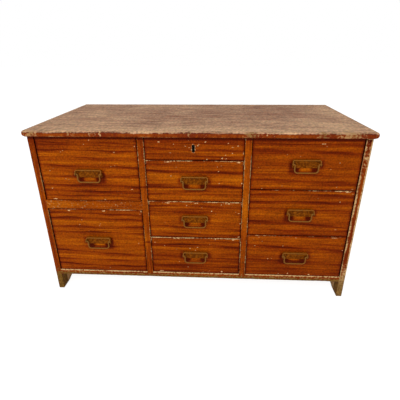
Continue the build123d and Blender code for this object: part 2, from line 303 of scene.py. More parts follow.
def varnished_wood(name, look):
    """Stained hardwood under old brushed varnish: streaks seen through a satin film that is rubbed off the
    arrises and chipped off in flecks, so the eye sees warm translucent brown broken by pale dry wood."""
    material, tree = blank(name)
    grain, bent = bent_grain(tree, 5)
    place = add(tree, "TexCoord")["Object"]
    pitch = look.streak_pitch
    # Bands, streaks and fine lines along the grain, deepened by the figure attribute of each board, which
    # also carries its painted shade
    band = along_grain(tree, bent, (520, pitch / 0.22, pitch / 0.2))[0]
    streak = along_grain(tree, bent, (230, pitch, pitch / 0.5), detail=3.0, roughness=0.6)[0]
    line = along_grain(tree, bent, (95, 2.2, 2.2))[0]
    figure = add(tree, "Attribute", attribute_name="figure")["Fac"]
    depth = summed(tree, figure, (band, 0.4), (streak, 0.7), (line, 0.65))
    depth = add(tree, "MapRange", {0: depth, 1: 0.53, 2: 1.53})[0]
    stain = add(tree, "ValToRGB", {0: depth}, stops=(
        (0.04, look.glow), (0.36, look.body), (0.68, look.streak), (1.0, look.deep)))[0]
    # Open pores, short dark dashes drawn a little coarse so that they show, and a cloudy, speckled film
    pore = along_grain(tree, grain, (9, 1.5, 1.5))[0]
    speck = add(tree, "TexNoise", {"Vector": place, "Scale": 1 / (3.2 * MM), "Detail": 2.0})[0]
    cloud = add(tree, "TexNoise", {"Vector": place, "Scale": 1 / (60 * MM), "Detail": 3.0})[0]
    level = summed(tree, 0.4, (pore, -0.7), (speck, 1.4), (cloud, 0.5))
    sound = add(tree, "HueSaturation", {"Color": stain, "Value": level})[0]
    # Wear: rubbed arrises, save where a mark guards them, flecks, and listed chips
    grit = add(tree, "TexNoise", {
        "Vector": place, "Scale": 1 / (4.5 * MM), "Detail": 4.0, "Roughness": 0.65})[0]
    patch = add(tree, "TexNoise", {"Vector": place, "Scale": 1 / (40 * MM), "Detail": 2.0})[0]
    guard = add(tree, "Attribute", attribute_name="guard")["Fac"]
    away = add(tree, "Math", {0: arris_distance(tree), 1: guard}, operation="ADD")[0]
    rubbed = rubbed_arris(tree, patch, grit, away, strip=(0.36, 0.05, look.rub), least_grit=0.1,
                          border=(-0.3, 0.4), most=0.95)
    fleck = flecks(tree, grain, cells=(11, 8, 8), rarity=0.86, largest=0.12)
    mark = bare_marks(tree, grit, border=(0.42, 0.72), most=1.0)
    worn = add(tree, "Math", {0: rubbed, 1: fleck}, operation="MAXIMUM")[0]
    worn = add(tree, "Math", {0: worn, 1: mark}, operation="MAXIMUM", use_clamp=True)[0]
    bare = bare_colour(tree, grit, look, dry_stops=(0.32, 0.52))
    shade = add(tree, "Mix", {0: worn, 6: sound, 7: bare}, data_type="RGBA")[2]
    rough = add(tree, "MapRange", {0: worn, 3: look.gloss, 4: 0.75})[0]
    relief = summed(tree, streak, (pore, 0.5), (worn, -0.6))
    lump = add(tree, "Bump", {"Strength": 0.35, "Distance": 0.35 * MM, "Height": relief})[0]
    return surfaced(material, {
        "Base Color": shade, "Roughness": rough, "Normal": lump, "Specular IOR Level": 0.03})


def faded_wood(name, look, varnish):
    """Stained board whose varnish has weathered to a dull haze: greyish brown streaks and specks of many
    browns, pale where rubbed, with red varnish left only low on its rounded edge."""
    material, tree = blank(name)
    grain, bent = bent_grain(tree, 6)
    place = add(tree, "TexCoord")["Object"]
    pitch = look.streak_pitch
    streak = along_grain(tree, bent, (70, pitch, pitch), detail=4.0, roughness=0.7)[0]
    cloud = add(tree, "TexNoise", {"Vector": place, "Scale": 1 / (80 * MM), "Detail": 3.0})[0]
    figure = add(tree, "Attribute", attribute_name="figure")["Fac"]
    depth = summed(tree, -0.34, (streak, 1.7), (cloud, 0.55), (figure, -1.0))
    depth = add(tree, "MapRange", {0: depth, 1: 0.35, 2: 1.15})[0]
    haze = add(tree, "ValToRGB", {0: depth}, stops=(
        (0.05, look.brown), (0.5, look.faded), (0.95, look.pale)))[0]
    # Specks of every brown where the crazed film has lost its hold, drawn coarse so that they show
    speck = along_grain(tree, grain, (5, 8, 5), detail=1.0)
    tinted = add(tree, "Mix", {0: 0.1, 6: haze, 7: speck["Color"]},
                 data_type="RGBA", blend_type="OVERLAY")[2]
    pore = along_grain(tree, grain, (45, 7, 7), detail=3.0, roughness=0.7)[0]
    level = add(tree, "MapRange", {0: pore, 1: 0.28, 2: 0.72, 3: 0.63, 4: 0.15})[0]
    level = summed(tree, level, (speck["Fac"], 1.3))
    dull = add(tree, "HueSaturation", {"Color": tinted, "Value": level})[0]
    # Red varnish left low on the rounded edge, with dark dirt in its crazing
    spot = add(tree, "Attribute", attribute_name="place")["Vector"]
    half = add(tree, "Attribute", attribute_name="half")["Vector"]
    below = add(tree, "VectorMath", {0: half, 1: spot}, operation="SUBTRACT")[0]
    drop = add(tree, "SeparateXYZ", {0: below})[2]
    grit = add(tree, "TexNoise", {
        "Vector": place, "Scale": 1 / (5 * MM), "Detail": 4.0, "Roughness": 0.65})[0]
    patch = add(tree, "TexNoise", {"Vector": place, "Scale": 1 / (40 * MM), "Detail": 2.0})[0]
    uneven = add(tree, "Math", {0: grit, 1: patch}, operation="ADD")[0]
    edge = add(tree, "MapRange", {0: uneven, 1: 0.7, 2: 1.3, 3: 1.5, 4: 5.4})[0]
    lower = add(tree, "Math", {0: drop, 1: edge}, operation="SUBTRACT")[0]
    film = add(tree, "MapRange", {0: lower, 1: -0.4, 2: 0.8})[0]
    film_tone = add(tree, "MapRange", {0: uneven, 1: 0.7, 2: 1.3})[0]
    red = add(tree, "ValToRGB", {0: film_tone}, stops=(
        (0.24, varnish.streak), (0.74, varnish.body), (1.0, varnish.glow)))[0]
    film_edge = add(tree, "Math", {0: lower}, operation="ABSOLUTE")[0]
    crack = add(tree, "MapRange", {0: film_edge, 1: 0.2, 2: 1.6, 3: 1.0, 4: 0.0})[0]
    dirt_spot = add(tree, "MapRange", {0: pore, 1: 0.42, 2: 0.54, 4: 0.95})[0]
    soot = add(tree, "Math", {0: crack, 1: dirt_spot}, operation="MULTIPLY")[0]
    coated = add(tree, "Mix", {0: film, 6: dull, 7: red}, data_type="RGBA")[2]
    coated = add(tree, "Mix", {0: soot, 6: coated, 7: (*varnish.deep, 1.0)}, data_type="RGBA")[2]
    # Arrises, flecks and listed patches rubbed to bare wood
    fleck = flecks(tree, grain, cells=(15, 24, 15), rarity=0.7, largest=0.18)
    mark = bare_marks(tree, grit, border=(0.45, 0.8), most=0.8)
    mark = add(tree, "Math", {0: mark, 1: fleck}, operation="MAXIMUM")[0]
    rubbed = rubbed_arris(tree, patch, grit, arris_distance(tree), strip=(0.34, 0.1, 2.4), least_grit=0.2,
                          border=(-0.4, 0.6), most=0.4)
    worn = add(tree, "Math", {0: rubbed, 1: mark}, operation="MAXIMUM", use_clamp=True)[0]
    bare = bare_colour(tree, grit, varnish, dry_stops=(0.3, 0.54))
    shade = add(tree, "Mix", {0: worn, 6: coated, 7: bare}, data_type="RGBA")[2]
    rough = add(tree, "MapRange", {0: film, 3: look.gloss, 4: varnish.gloss})[0]
    relief = add(tree, "Math", {0: pore, 1: streak}, operation="ADD")[0]
    lump = add(tree, "Bump", {"Strength": 0.4, "Distance": 0.4 * MM, "Height": relief})[0]
    return surfaced(material, {
        "Base Color": shade, "Roughness": rough, "Normal": lump, "Specular IOR Level": 0.06})


def planed_pine(name, look):
    """Planed softwood left raw: matt honey-coloured boards with darker ring lines, browned and dusty at the
    arrises."""
    material, tree = blank(name)
    grain, bent = bent_grain(tree, 10)
    place = add(tree, "TexCoord")["Object"]
    pitch = look.ring_pitch
    ring = along_grain(tree, bent, (420, pitch, pitch), detail=3.0)[0]
    wood_shade = add(tree, "ValToRGB", {0: ring}, stops=((0.4, look.early), (0.7, look.late)))[0]
    cloud = add(tree, "TexNoise", {
        "Vector": place, "Scale": 1 / (60 * MM), "Detail": 4.0, "Roughness": 0.6})[0]
    reach = add(tree, "MapRange", {0: cloud, 1: 0.3, 2: 0.7, 3: 0.5, 4: 14.0})[0]
    bite = add(tree, "Math", {0: reach, 1: arris_distance(tree)}, operation="SUBTRACT")[0]
    dusty = add(tree, "MapRange", {0: bite, 1: -8.0, 2: 10.0, 3: 0.06, 4: 0.75})[0]
    shade = add(tree, "Mix", {0: dusty, 6: wood_shade, 7: (*look.dust, 1.0)}, data_type="RGBA")[2]
    fibre = along_grain(tree, grain, (18, 0.8, 0.8))[0]
    fibre_level = add(tree, "MapRange", {0: fibre, 1: 0.3, 2: 0.7, 3: 1.08, 4: 0.9})[0]
    raw = add(tree, "HueSaturation", {"Color": shade, "Value": fibre_level})[0]
    rough = add(tree, "MapRange", {0: fibre, 1: 0.3, 2: 0.7, 3: 0.7, 4: 0.85})[0]
    relief = add(tree, "Math", {0: fibre, 1: ring}, operation="ADD")[0]
    lump = add(tree, "Bump", {"Strength": 0.4, "Distance": 0.3 * MM, "Height": relief})[0]
    return surfaced(material, {
        "Base Color": raw, "Roughness": rough, "Normal": lump, "Specular IOR Level": 0.2})


def tarnished_brass(name, look):
    """Pressed brass sheet and wire under brown tarnish: dull bronze, dirty in the hollows, brighter on the
    lip, the ears and the wire that fingers rub, and with shade painted on the faces that look down."""
    material, tree = blank(name)
    place = add(tree, "TexCoord")["Object"]
    out = add(tree, "SeparateXYZ", {0: place})[1]
    touch = add(tree, "MapRange", {0: out, 1: (FRONT - 2) * MM, 2: (FRONT - 8) * MM, 4: 0.6})[0]
    mottle = add(tree, "TexNoise", {
        "Vector": place, "Scale": 1 / (4 * MM), "Detail": 4.0, "Roughness": 0.65})[0]
    blotch = add(tree, "MapRange", {0: mottle, 1: 0.3, 2: 0.7, 3: -0.12, 4: 0.47})[0]
    # Painted shade: the faces that look down are darker
    facing = add(tree, "SeparateXYZ", {0: add(tree, "TexCoord")["Normal"]})[2]
    under = add(tree, "MapRange", {0: facing, 1: -0.9, 2: -0.1, 3: -0.5, 4: 0.0})[0]
    level = summed(tree, touch, (blotch, 1.0), (under, 1.0))
    shade = add(tree, "ValToRGB", {0: level}, stops=(
        (0.0, look.dirt), (0.3, look.tarnish), (0.85, look.rubbed)))[0]
    metal = add(tree, "MapRange", {0: level, 1: 0.35, 4: 0.45})[0]
    rough = add(tree, "MapRange", {0: level, 3: 0.7, 4: 0.45})[0]
    pit = add(tree, "TexNoise", {"Vector": place, "Scale": 1 / (0.9 * MM), "Detail": 2.0})[0]
    lump = add(tree, "Bump", {"Strength": 0.3, "Distance": 0.12 * MM, "Height": pit})[0]
    return surfaced(material, {
        "Base Color": shade, "Roughness": rough, "Metallic": metal, "Normal": lump,
        "Specular IOR Level": 0.03})


def forged_iron(name):
    """Filed and blackened iron: dark grey with a brown bloom of rust and a low sheen."""
    material, tree = blank(name)
    place = add(tree, "TexCoord")["Object"]
    rust = add(tree, "TexNoise", {
        "Vector": place, "Scale": 1 / (4 * MM), "Detail": 5.0, "Roughness": 0.7})[0]
    shade = add(tree, "ValToRGB", {0: rust}, stops=(
        (0.35, linear("181614")), (0.6, linear("2C231D")), (0.75, linear("4A2D1A"))))[0]
    rough = add(tree, "MapRange", {0: rust, 1: 0.3, 2: 0.7, 3: 0.45, 4: 0.85})[0]
    metal = add(tree, "MapRange", {0: rust, 1: 0.4, 2: 0.7, 3: 0.8, 4: 0.1})[0]
    lump = add(tree, "Bump", {"Strength": 0.3, "Distance": 0.1 * MM, "Height": rust})[0]
    return surfaced(material, {"Base Color": shade, "Roughness": rough, "Metallic": metal, "Normal": lump})


def finish(name):
    """One of the cabinet's finishes, made when it is first asked for."""
    found = bpy.data.materials.get(name)
    if found:
        return found
    scene = bpy.context.scene
    makers = {
        "varnished_front_wood": (varnished_wood, scene.cabinet_fronts),
        "varnished_carcass_wood": (varnished_wood, scene.cabinet_carcass),
        "faded_top_wood": (faded_wood, scene.cabinet_top, scene.cabinet_carcass),
        "raw_planed_pine": (planed_pine, scene.cabinet_pine),
        "tarnished_pressed_brass": (tarnished_brass, scene.cabinet_brass),
        "blackened_forged_iron": (forged_iron,),
    }
    make, *looks = makers[name]
    return make(name, *looks)


# Boards worked from the CAD solids


def solids_of(node):
    """The closed solids of one CAD node, each a bmesh with its corners merged."""
    mesh = frame["nodes"][node].data
    corners = [tuple(round(c / MICRON) for c in v.co) for v in mesh.vertices]
    groups, group, unpaired = [], set(), set()
    for face in mesh.polygons:
        group.add(face.index)
        ring = [corners[v] for v in face.vertices]
        for a, b in zip(ring, ring[1:] + ring[:1]):
            if (b, a) in unpaired:
                unpaired.remove((b, a))
            elif a != b:
                unpaired.add((a, b))
        if not unpaired:
            groups.append(group)
            group = set()
    if group:
        raise ValueError(f"{node} is not made of closed solids")
    solids = []
    for group in groups:
        bm = bmesh.new()
        bm.from_mesh(mesh)
        others = [face for face in bm.faces if face.index not in group]
        bmesh.ops.delete(bm, geom=others, context="FACES")
        bmesh.ops.remove_doubles(bm, verts=bm.verts[:], dist=2 * MICRON)
        solids.append(bm)
    return solids


def extent(bm):
    """The lowest and highest corner of a bmesh."""
    low = Vector([min(v.co[axis] for v in bm.verts) for axis in range(3)])
    high = Vector([max(v.co[axis] for v in bm.verts) for axis in range(3)])
    return low, high


def soften(bm, radius):
    """Makes flat faces whole and rounds the long outer arrises of a board, as handling does."""
    bmesh.ops.dissolve_limit(bm, angle_limit=math.radians(0.4), verts=bm.verts[:], edges=bm.edges[:])
    low, high = extent(bm)
    arrises = []
    for edge in bm.edges:
        planes = 0
        for axis in range(3):
            for limit in (low[axis], high[axis]):
                planes += all(abs(v.co[axis] - limit) < SAME_PLANE for v in edge.verts)
        if planes >= 2 and edge.calc_length() > LONG_ARRIS:
            arrises.append(edge)
    bmesh.ops.bevel(bm, geom=arrises, offset=radius, offset_type="OFFSET", segments=2, profile=0.5,
                    affect="EDGES", clamp_overlap=True, material=-1)


def part_line(bm, depth):
    """Cuts a board across at this distance behind the drawer fronts, where its finish or its painted gap
    shade changes.
    """
    whole = bm.verts[:] + bm.edges[:] + bm.faces[:]
    line = (0, (FRONT + depth) * MM, 0)
    bmesh.ops.bisect_plane(bm, geom=whole, plane_co=line, plane_no=(0, 1, 0), dist=MICRON)


def score(bm, chosen, axis, step):
    """Cuts the chosen faces in even lines across one axis, so that marks can be laid on their points."""
    low, high = extent(bm)
    count = max(1, round((high[axis] - low[axis]) / step))
    across = Vector((axis == 0, axis == 1, axis == 2))
    faces = [face for face in bm.faces if chosen(face)]
    geom = faces + list({e for f in faces for e in f.edges}) + list({v for f in faces for v in f.verts})
    for cut in range(1, count):
        place = low + (high - low) * (cut / count)
        geom = bmesh.ops.bisect_plane(bm, geom=geom, plane_co=place, plane_no=across, dist=MICRON)["geom"]


def dent(bm, depth):
    """Uneven dents along the arrises."""
    low, high = extent(bm)
    bm.normal_update()
    for v in bm.verts:
        inset = sorted(min(v.co[axis] - low[axis], high[axis] - v.co[axis]) for axis in range(3))
        if inset[1] < NEAR_ARRIS:
            knock = noise.noise(v.co / WIDE_DENT) + 0.6 * noise.noise(v.co / SMALL_DENT)
            v.co -= v.normal * depth * max(0.0, knock)


def clean(bm):
    """Clears the slivers that cutting leaves, and parts the many-sided faces into even triangles."""
    bmesh.ops.dissolve_degenerate(bm, dist=5 * MICRON, edges=bm.edges[:])
    many_sided = [face for face in bm.faces if len(face.verts) > 4]
    bmesh.ops.triangulate(bm, faces=many_sided, quad_method="BEAUTY", ngon_method="BEAUTY")


def to_front(face):
    """Whether a face looks to the front."""
    return face.normal.y < -0.2


def not_below(face):
    """Whether a face looks up or out."""
    return face.normal.z > -0.5


def to_sides(face):
    """Whether a face looks to the left or right."""
    return abs(face.normal.x) > 0.5


def worn_board(node, rounding, dents, scores, part_at=()):
    """The solid of a one-board node, worked and worn. Each score is the chosen faces, the axis and the step.
    All sizes are in mm."""
    bm = solids_of(node)[0]
    soften(bm, rounding * MM)
    for depth in part_at:
        part_line(bm, depth)
    for chosen, axis, step in scores:
        score(bm, chosen, axis, step * MM)
    dent(bm, dents * MM)
    return bm


def softened(node, rounding):
    """The solids of a node with their long arrises rounded, by a radius in mm."""
    solids = solids_of(node)
    for bm in solids:
        soften(bm, rounding * MM)
    return solids


def put(name, mesh, slot, body, *nodes):
    """Puts a mesh in the scene as a piece that rides on a body and stands for the CAD nodes given."""
    mesh.shade_smooth()
    piece = bpy.data.objects.new(name, mesh)
    bpy.context.scene.collection.objects.link(piece)
    if nodes:
        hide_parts(*nodes)
    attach(piece, body)
    return piece


def board_piece(name, node, solids, slot, finishes, along=None, inner=None, marks=None):
    """Joins worked solids into one piece that stands for a CAD node, and gives each board its own grain."""
    joined = bmesh.new()
    spans = []
    for bm in solids:
        clean(bm)
        part = bpy.data.meshes.new("part")
        bm.to_mesh(part)
        bm.free()
        start = len(joined.verts)
        joined.from_mesh(part)
        spans.append((start, len(joined.verts)))
        bpy.data.meshes.remove(part)
    mesh = bpy.data.meshes.new(name)
    joined.to_mesh(mesh)
    joined.free()
    points = np.empty(len(mesh.vertices) * 3, np.float32)
    mesh.vertices.foreach_get("co", points)
    points = points.reshape(-1, 3) / MM
    fields = {field: np.zeros_like(points) for field in ("grain", "place", "half")}
    for number, (start, end) in enumerate(spans):
        board = points[start:end]
        low, high = board.min(0), board.max(0)
        order = list(np.argsort(low - high))
        if along is not None:
            order.remove(along)
            order.insert(0, along)
        # Each board is cut from its own place in the tree, so no two show the same grain
        seed = 31.0 * (number + 1) + sum(ord(letter) for letter in name) % 97
        fields["grain"][start:end] = board[:, order] + np.array((seed * 17, seed * 5, seed * 3), np.float32)
        fields["place"][start:end] = board - (low + high) / 2
        fields["half"][start:end] = (high - low) / 2
    for field, values in fields.items():
        layer = mesh.attributes.new(field, "FLOAT_VECTOR", "POINT")
        layer.data.foreach_set("vector", values.astype(np.float32).ravel())
    laid = marks(points) if marks else {}
    for field in ("figure", "bare", "grime", "guard"):
        layer = mesh.attributes.new(field, "FLOAT", "POINT")
        values = laid.get(field, np.zeros(len(points)))
        layer.data.foreach_set("value", values.astype(np.float32))
    for finish_name in finishes:
        mesh.materials.append(finish(finish_name))
    if inner:
        for face in mesh.polygons:
            face.material_index = 1 if inner(face) else 0
    piece = put(name, mesh, slot, frame["nodes"][node]["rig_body"], node)
    mesh.set_sharp_from_angle(angle=math.radians(50))
    flat = piece.modifiers.new("Flat faces", "WEIGHTED_NORMAL")
    flat.keep_sharp = True


def metal_piece(name, node, slot, finish_name, edge=0.0):
    """A smooth copy of a metal CAD node, its sharp edges eased by this many mm."""
    bm = solids_of(node)[0]
    mesh = bpy.data.meshes.new(name)
    bm.to_mesh(mesh)
    bm.free()
    mesh.materials.append(finish(finish_name))
    piece = put(name, mesh, slot, frame["nodes"][node]["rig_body"], node)
    mesh.set_sharp_from_angle(angle=math.radians(40))
    if edge:
        ease = piece.modifiers.new("Eased edges", "BEVEL")
        ease.width = edge * MM
        ease.segments = 2
        ease.limit_method = "ANGLE"
        ease.angle_limit = math.radians(50)


def domes(name, places, slot, finish_name, body, facing, across, rise):
    """Round heads of nails, screws or pins, half sunk in the face that they stand on. Their width and rise
    are in mm."""
    bm = bmesh.new()
    turn = Vector((0, 0, 1)).rotation_difference(facing).to_matrix().to_4x4()
    flatten = Matrix.Diagonal((1, 1, 2 * rise / across, 1))
    for place in places:
        made = bmesh.ops.create_uvsphere(bm, u_segments=12, v_segments=8, radius=across / 2 * MM)["verts"]
        bmesh.ops.transform(bm, matrix=Matrix.Translation(place) @ turn @ flatten, verts=made)
    mesh = bpy.data.meshes.new(name)
    bm.to_mesh(mesh)
    bm.free()
    mesh.materials.append(finish(finish_name))
    put(name, mesh, slot, body)


# Figure, wear and painted shade laid on the boards, in mm

# Dark streaks of each front: height above its lower edge at its left, middle and right, half thickness
# and depth; a streak of negative depth is pale
STREAKS = {
    "left_top": (
        (132, 130, 128, 2.2, 0.3), (128, 125, 123, 1.8, 0.26), (115.5, 114, 112, 2.6, 0.5),
        (99.5, 98.5, 94, 1.7, 0.36), (93, 94, 91, 1.4, 0.26), (81.5, 79.5, 77, 2.4, 0.4),
        (58, 57, 60.5, 1.8, 0.3), (37, 36, 34.5, 3.0, 0.5), (24, 22.5, 20, 2.8, 0.48),
        (12, 11.5, 9, 2.6, 0.32), (88, 87, 84, 2.6, -0.22), (107, 105, 103, 3.0, -0.14),
        (66, 66, 68, 3.0, -0.1), (50, 49, 50, 5.0, -0.14), (30.5, 29, 28, 1.8, -0.16),
        (4, 4, 3, 2.0, -0.15),
    ),
    "left_bottom": (
        (155.5, 154, 151, 2.8, 0.38), (142.5, 142, 138, 2.8, 0.42), (121, 121, 120, 3.2, 0.4),
        (106, 105.5, 104.5, 2.8, 0.5), (68, 68.5, 74, 2.3, 0.34), (57, 50, 44.5, 2.5, 0.45),
        (34, 30.5, 29, 2.8, 0.32), (19, 14.5, 13.5, 3.0, 0.55), (8, 5, 4, 1.8, 0.25),
        (149, 148, 145, 2.0, -0.16), (133, 131, 129, 4.0, -0.14), (114, 114, 113, 1.6, -0.18),
        (98, 98, 96, 3.0, -0.14), (84, 84, 84, 5.0, -0.12), (43, 40, 38, 3.0, -0.16),
        (24, 22, 21, 1.8, -0.14),
    ),
    "centre_lock": (
        (25.5, 22, 20.5, 2.2, 0.36), (13, 9.5, 5, 2.2, 0.36), (36, 35, 34, 2.0, 0.2),
        (20.5, 17.5, 12, 1.4, -0.3), (32, 31, 29, 2.4, -0.12), (5, 4, 15, 1.8, -0.14),
    ),
    "centre_upper": (
        (69.5, 67, 66, 3.0, 0.52), (36, 36, 33.5, 2.8, 0.48), (31.5, 32.5, 32.5, 2.2, 0.36),
        (22, 23, 22, 1.8, 0.3), (17, 17, 17, 1.8, 0.26), (84, 80, 78, 3.0, 0.2), (54, 52, 50, 6.0, -0.24),
        (27, 28, 28, 1.6, -0.26), (9, 9, 10, 4.0, -0.16), (61, 61, 60, 2.0, -0.14),
    ),
    "centre_middle": (
        (78, 78.5, 74, 2.8, 0.42), (64, 63, 58.5, 2.8, 0.42), (70.5, 71, 66, 1.6, 0.18),
        (29, 25, 20, 2.4, 0.34), (12, 8, 5, 2.4, 0.32), (73.5, 74, 70, 1.4, -0.26),
        (47, 45, 43, 6.5, -0.22), (21, 18, 13, 2.0, -0.14), (84, 84, 82, 2.0, -0.1),
    ),
    "centre_bottom": (
        (77, 78, 72.5, 2.5, 0.56), (48, 44, 40, 1.8, 0.22), (36, 35, 36, 1.8, 0.3),
        (20.5, 20, 18, 3.0, 0.44), (6, 4.5, 4, 2.4, 0.34), (88, 88.5, 87, 2.0, 0.18),
        (66, 66, 63, 5.0, -0.14), (83, 83, 80, 1.8, -0.16), (28, 28, 27, 2.6, -0.1),
        (54, 53, 52, 1.8, 0.14),
    ),
    "right_top": (
        (86, 82.5, 79, 3.8, 0.3), (23, 19, 14, 3.8, 0.28), (34, 33, 28.5, 2.4, 0.18),
        (98, 97.5, 96, 2.0, 0.18), (61, 59, 53, 2.0, 0.12), (92, 91, 89, 1.8, -0.14),
        (71, 70, 66, 5.0, -0.1), (8, 7, 6, 3.0, -0.1), (46, 44, 40, 3.0, -0.08),
    ),
    "right_middle": (
        (98.5, 99.5, 97, 3.8, 0.46), (82, 82, 80, 2.8, 0.5), (36, 29.5, 22, 2.8, 0.46),
        (16, 12.5, 14, 2.8, 0.36), (67, 66, 62, 2.2, 0.24), (3, 3, 3, 1.8, 0.2),
        (105, 105, 104, 1.8, -0.14), (90, 90, 88, 1.8, -0.2), (55, 52, 48, 7.0, -0.16),
        (25, 22, 18, 1.4, -0.18), (75, 75, 72, 2.0, -0.12),
    ),
    "right_bottom": (
        (81, 76.5, 70, 3.4, 0.5), (43, 40, 33.5, 2.8, 0.46), (20, 19, 17, 6.0, 0.22),
        (94, 89, 84, 2.0, 0.24), (8, 8, 6, 4.0, 0.18), (90, 85.5, 81, 1.6, -0.14),
        (63, 60, 56, 6.0, -0.14), (99, 99, 98, 2.6, -0.1), (34, 30, 27, 2.0, -0.1),
    ),
}
# Chips and scratches of each front: place from its left and lower edge, half length, half height
CHIPS = {
    "left_top": (
        (163, 110, 2.2, 1.6), (155, 80, 3.0, 1.2), (163, 81.5, 3.4, 1.2), (51, 51, 1.6, 2.2),
        (58, 48, 2.0, 2.8), (20, 69, 3.2, 1.3), (50, 110, 1.6, 1.5), (28, 74, 1.6, 1.2),
        (17, 28, 2.2, 1.2), (51, 10, 1.6, 1.3), (165, 30, 1.9, 1.2), (195, 28, 2.3, 1.3),
        (114, 136, 1.6, 1.6), (208, 124, 1.6, 2.2), (133, 2.5, 4.0, 1.2), (20, 3, 7.0, 1.3),
        (28, 91, 1.6, 1.2), (102, 127, 1.6, 1.2),
    ),
    "left_bottom": (
        (65, 125, 2.2, 1.3), (72, 138, 1.6, 2.0), (114, 128, 1.6, 1.2), (123, 108, 1.8, 1.6),
        (123, 8, 1.8, 1.6), (198, 78, 2.2, 1.2), (210, 161, 2.4, 1.8), (207, 154, 1.8, 1.6),
        (45, 161, 9.0, 1.6), (125, 161, 5.0, 2.2), (85, 109, 1.6, 1.2),
    ),
    "centre_lock": (
        (30, 38, 4.0, 1.3), (125, 39, 2.2, 2.4), (181, 28, 4.6, 1.2), (192, 31, 3.8, 1.2),
        (160, 5, 2.8, 2.6), (168, 3.5, 3.0, 1.6), (166, 11, 1.8, 1.2), (181, 15, 2.2, 1.2),
        (150, 22, 1.6, 1.8), (110, 31, 1.8, 1.6), (113, 34, 1.8, 1.3), (83, 11, 1.8, 1.6),
        (52, 15, 3.0, 1.2), (60, 33, 1.8, 1.2), (93, 27, 4.0, 1.1), (128, 1.8, 3.0, 1.2),
        (203, 16, 1.6, 5.0), (85, 29, 2.6, 1.1), (172, 36, 2.0, 1.2),
    ),
    "centre_upper": (
        (64, 77, 2.7, 1.4), (153, 84, 2.0, 1.2), (158, 81, 1.7, 1.2), (150, 79, 1.7, 1.2),
        (153, 69, 1.7, 1.2), (155, 42, 1.6, 1.8), (53, 58, 1.6, 1.6), (163, 59, 1.6, 1.4),
        (203, 43, 1.8, 2.0), (119, 17, 1.6, 1.2), (46, 89, 10.0, 1.4), (194, 89, 9.0, 1.6),
        (100, 8, 2.4, 1.2),
    ),
    "centre_middle": (
        (118, 76, 3.0, 1.2), (139, 67, 1.6, 3.4), (148, 61, 1.6, 1.6), (84, 80, 1.6, 2.0),
        (66, 55, 1.6, 1.8), (160, 50, 1.6, 2.0), (193, 66, 2.0, 2.4), (199, 63, 3.0, 1.2),
        (185, 79, 1.6, 1.4), (161, 83, 1.6, 1.2), (113, 14, 1.6, 1.8), (201, 3, 3.6, 2.6),
        (203, 38, 1.6, 2.4), (175, 86, 14.0, 1.4), (40, 86, 16.0, 1.2), (104, 86, 9.0, 1.2),
    ),
    "centre_bottom": (
        (30, 74, 1.9, 1.5), (64, 31, 2.2, 1.3), (144, 75, 1.6, 1.2), (107, 71, 2.2, 1.5),
        (90, 68, 2.4, 1.4), (102, 63, 1.6, 1.2), (148, 52, 1.6, 1.2), (9, 82, 2.2, 1.2),
        (165, 5, 2.8, 2.8), (133, 3, 1.6, 2.4), (120, 2, 3.0, 1.4), (145, 93, 6.0, 1.8),
        (190, 93, 5.0, 1.8), (84, 16, 1.6, 1.8), (60, 94, 14.0, 1.2), (20, 3, 9.0, 1.6),
    ),
    "right_top": (
        (70, 76, 2.4, 1.2), (140, 99, 6.0, 1.0), (171, 98, 1.8, 1.2), (197, 84, 1.6, 1.2),
        (178, 60, 1.7, 1.7), (161, 46, 1.6, 1.2), (179, 7, 2.2, 1.5), (65, 9, 1.6, 1.3),
        (24, 1.8, 2.2, 1.4), (97, 73, 1.6, 1.2), (212, 3, 3.0, 1.4),
    ),
    "right_middle": (
        (22, 103, 1.7, 1.3), (191, 84, 2.1, 1.3), (188, 70, 1.7, 1.8), (188, 95, 1.6, 1.6),
        (196, 68, 1.6, 1.2), (192, 17, 2.2, 1.2), (40, 85, 1.6, 1.2), (215, 103, 2.4, 1.6),
        (203, 107, 12.0, 1.4), (165, 17, 1.8, 1.2),
    ),
    "right_bottom": (
        (33, 92, 1.8, 1.2), (18, 80, 2.6, 1.8), (82, 81, 1.7, 2.4), (50, 45, 1.6, 1.5),
        (57, 46, 1.6, 1.2), (211, 90, 1.7, 2.6), (216, 72, 1.9, 1.5), (153, 57, 1.6, 1.2),
        (99, 6, 1.7, 2.2), (148, 3.5, 2.8, 2.6), (78, 4, 1.7, 1.8), (168, 26, 2.2, 1.3),
        (14, 97, 1.7, 1.2), (110, 103, 4.0, 1.2), (195, 104, 14.0, 1.2),
    ),
}
# How much darker than the others each front is
TONE = {
    "left_top": 0.05, "left_bottom": 0.05, "centre_lock": 0.15, "centre_upper": 0.03,
    "centre_middle": 0.06, "centre_bottom": 0.13, "right_top": 0.12, "right_middle": 0.11,
    "right_bottom": 0.14,
}
# How strong and how broad the streaks of each front are; the left ones are bold and crisp
BOLD = {
    "left_top": (1.15, 0.65), "left_bottom": (1.15, 0.7), "centre_lock": (0.75, 1.0),
    "centre_upper": (0.95, 1.0), "centre_middle": (0.78, 1.0), "centre_bottom": (0.92, 1.0),
    "right_top": (1.0, 1.0), "right_middle": (0.88, 0.8), "right_bottom": (0.92, 0.8),
}
# Painted shadow of the plate and bail on a front round its handle, with some dirt: distance from the
# handle's middle towards the middle of the cabinet, drop below its lip, radii, depth; a negative depth makes
# it lighter
HANDLE_SHADOW_AND_GRIME = (
    (30, 13, 3.2, 8.5, 0.75), (-32, 11, 4, 9, 0.4), (19, 20, 5, 8, 1.5), (-19, 20, 5, 8, 1.5),
    (0, 31, 24, 3, 0.35), (29, 26, 6, 6, 0.4), (0, 20, 11, 5, -0.3),
)
# How far the upper arris of each front is spared from rubbing; the top overhangs the highest row
SPARED = {
    "left_top": 4.0, "centre_lock": 4.0, "right_top": 4.0, "left_bottom": 0.1, "centre_upper": 0.1,
    "centre_middle": -0.2, "centre_bottom": -0.1, "right_middle": 0.2, "right_bottom": 0.15,
}
# Height of the strip along that upper arris, and how far the rest of a front is spared
UPPER_STRIP = 9
SPARED_ELSEWHERE = 1.3
